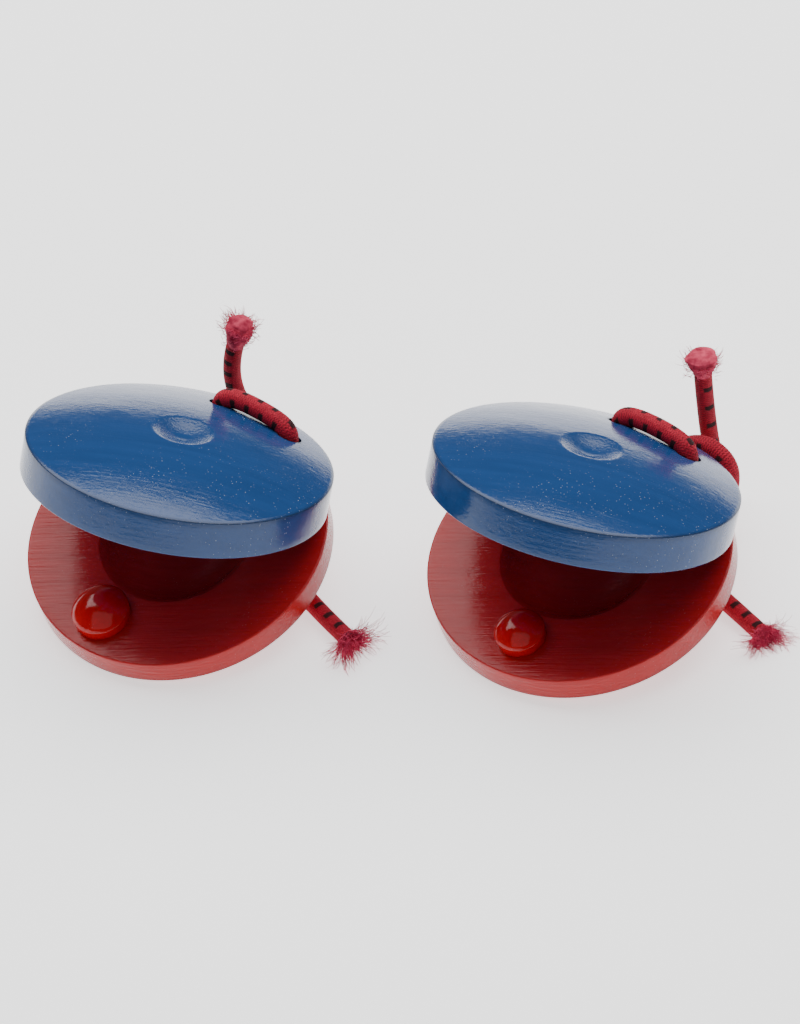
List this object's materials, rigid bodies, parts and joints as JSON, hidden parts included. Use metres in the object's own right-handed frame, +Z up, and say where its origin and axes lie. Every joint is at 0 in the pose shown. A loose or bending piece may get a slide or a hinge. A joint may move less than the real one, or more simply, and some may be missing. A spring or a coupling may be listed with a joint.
{
  "type": "finger castanets",
  "caption": "Pair of round finger castanets: hinged hollow wooden shells with a striker knob, held open by an elastic finger loop.",
  "frame": {"origin": "On the table, under the middle of the pair's box without the loose cord ends.", "axes": "+Z is up, +X runs from the left castanet to the right one, and the mouths open towards -X and -Y."},
  "size_m": [0.1425, 0.0744, 0.0413],
  "materials": {
    "blue_enamel": "glossy enamel paint on turned wood",
    "red_enamel": "glossy enamel paint on turned wood",
    "knob_enamel": "glossy enamel paint on turned wood",
    "elastic_cord": "braided cover over a rubber core",
    "frayed_thread": "loose cover threads"
  },
  "bodies": {
    "left_base": {"left_lower_shell": "red_enamel", "left_striker_knob": "knob_enamel", "left_outer_strand": "elastic_cord", "left_inner_strand": "elastic_cord", "left_cord_knot": "elastic_cord", "left_upright_tail": "elastic_cord", "left_side_tail": "elastic_cord", "left_upright_fray": "frayed_thread", "left_side_fray": "frayed_thread"},
    "left_clapper": {"left_upper_shell": "blue_enamel", "left_finger_loop": "elastic_cord"},
    "right_base": {"right_lower_shell": "red_enamel", "right_striker_knob": "knob_enamel", "right_outer_strand": "elastic_cord", "right_inner_strand": "elastic_cord", "right_cord_knot": "elastic_cord", "right_upright_tail": "elastic_cord", "right_side_tail": "elastic_cord", "right_upright_fray": "frayed_thread", "right_side_fray": "frayed_thread"},
    "right_clapper": {"right_upper_shell": "blue_enamel", "right_finger_loop": "elastic_cord"}
  },
  "joints": [
    {"name": "left_clap", "type": "hinge", "parent": "left_base", "child": "left_clapper", "pos_m": [-0.02611, 0.01945, 0.01796], "axis": [0.7821, -0.6229, -0.0168], "range_deg": [0, 29], "stiffness_Nm_per_rad": 0.025, "springref_deg": -20.05},
    {"name": "right_lift", "type": "slide", "parent": "left_base", "child": "right_base", "axis": [0, 0, 1], "range_m": [0, 0.06]},
    {"name": "right_clap", "type": "hinge", "parent": "right_base", "child": "right_clapper", "pos_m": [0.04841, 0.00695, 0.01674], "axis": [0.7346, -0.6781, 0.022], "range_deg": [0, 29], "stiffness_Nm_per_rad": 0.025, "springref_deg": -20.05}
  ]
}
